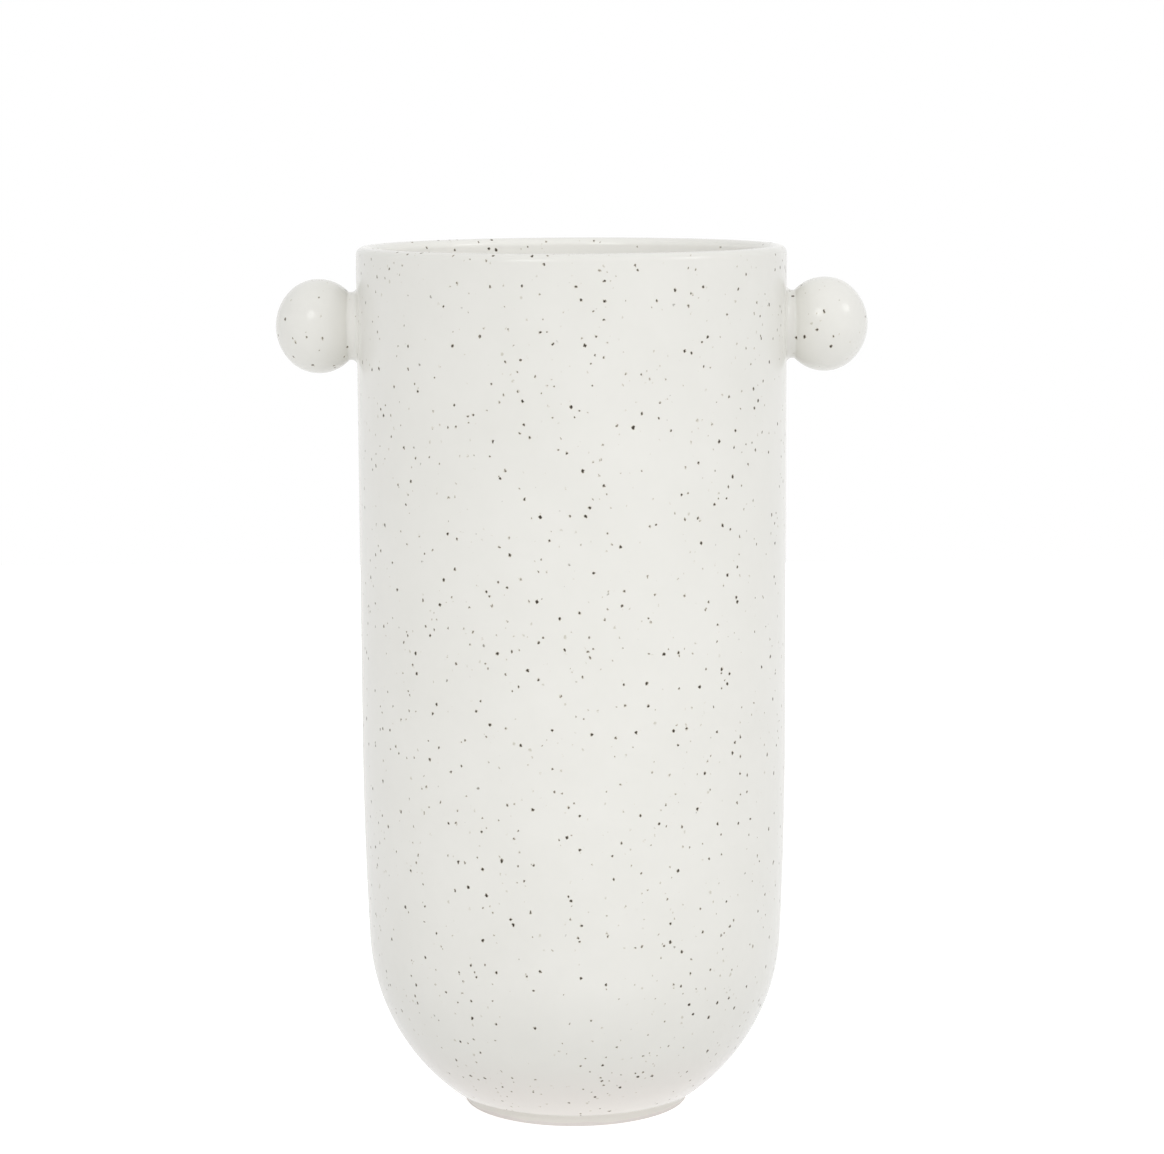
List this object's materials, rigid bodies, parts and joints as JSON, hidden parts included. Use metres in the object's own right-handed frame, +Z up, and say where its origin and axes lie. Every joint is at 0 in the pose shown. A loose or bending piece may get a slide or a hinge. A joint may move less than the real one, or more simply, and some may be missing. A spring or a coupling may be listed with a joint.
{
  "type": "vase",
  "caption": "Tall straight-walled stoneware vase with a round bottom on a low foot ring, a rounded lip and ball knobs on the sides below the mouth, to hold water and cut stems.",
  "frame": {"origin": "middle of the foot ring's standing face, on the table", "axes": "+Z up along the axis of the vase; the knobs lie along X, the left one on -X, seen from the front, which is -Y"},
  "size_m": [0.1722, 0.125, 0.254],
  "materials": {
    "speckled_glaze": "satin off-white glaze with fine dark iron speckles",
    "bare_stoneware": "fired stoneware, glazed down its outer side and wiped bare where it stands"
  },
  "bodies": {
    "root": {"vase_body": "speckled_glaze", "foot_ring": "bare_stoneware", "left_knob": "speckled_glaze", "right_knob": "speckled_glaze", "left_collar": "speckled_glaze", "right_collar": "speckled_glaze"}
  },
  "joints": []
}
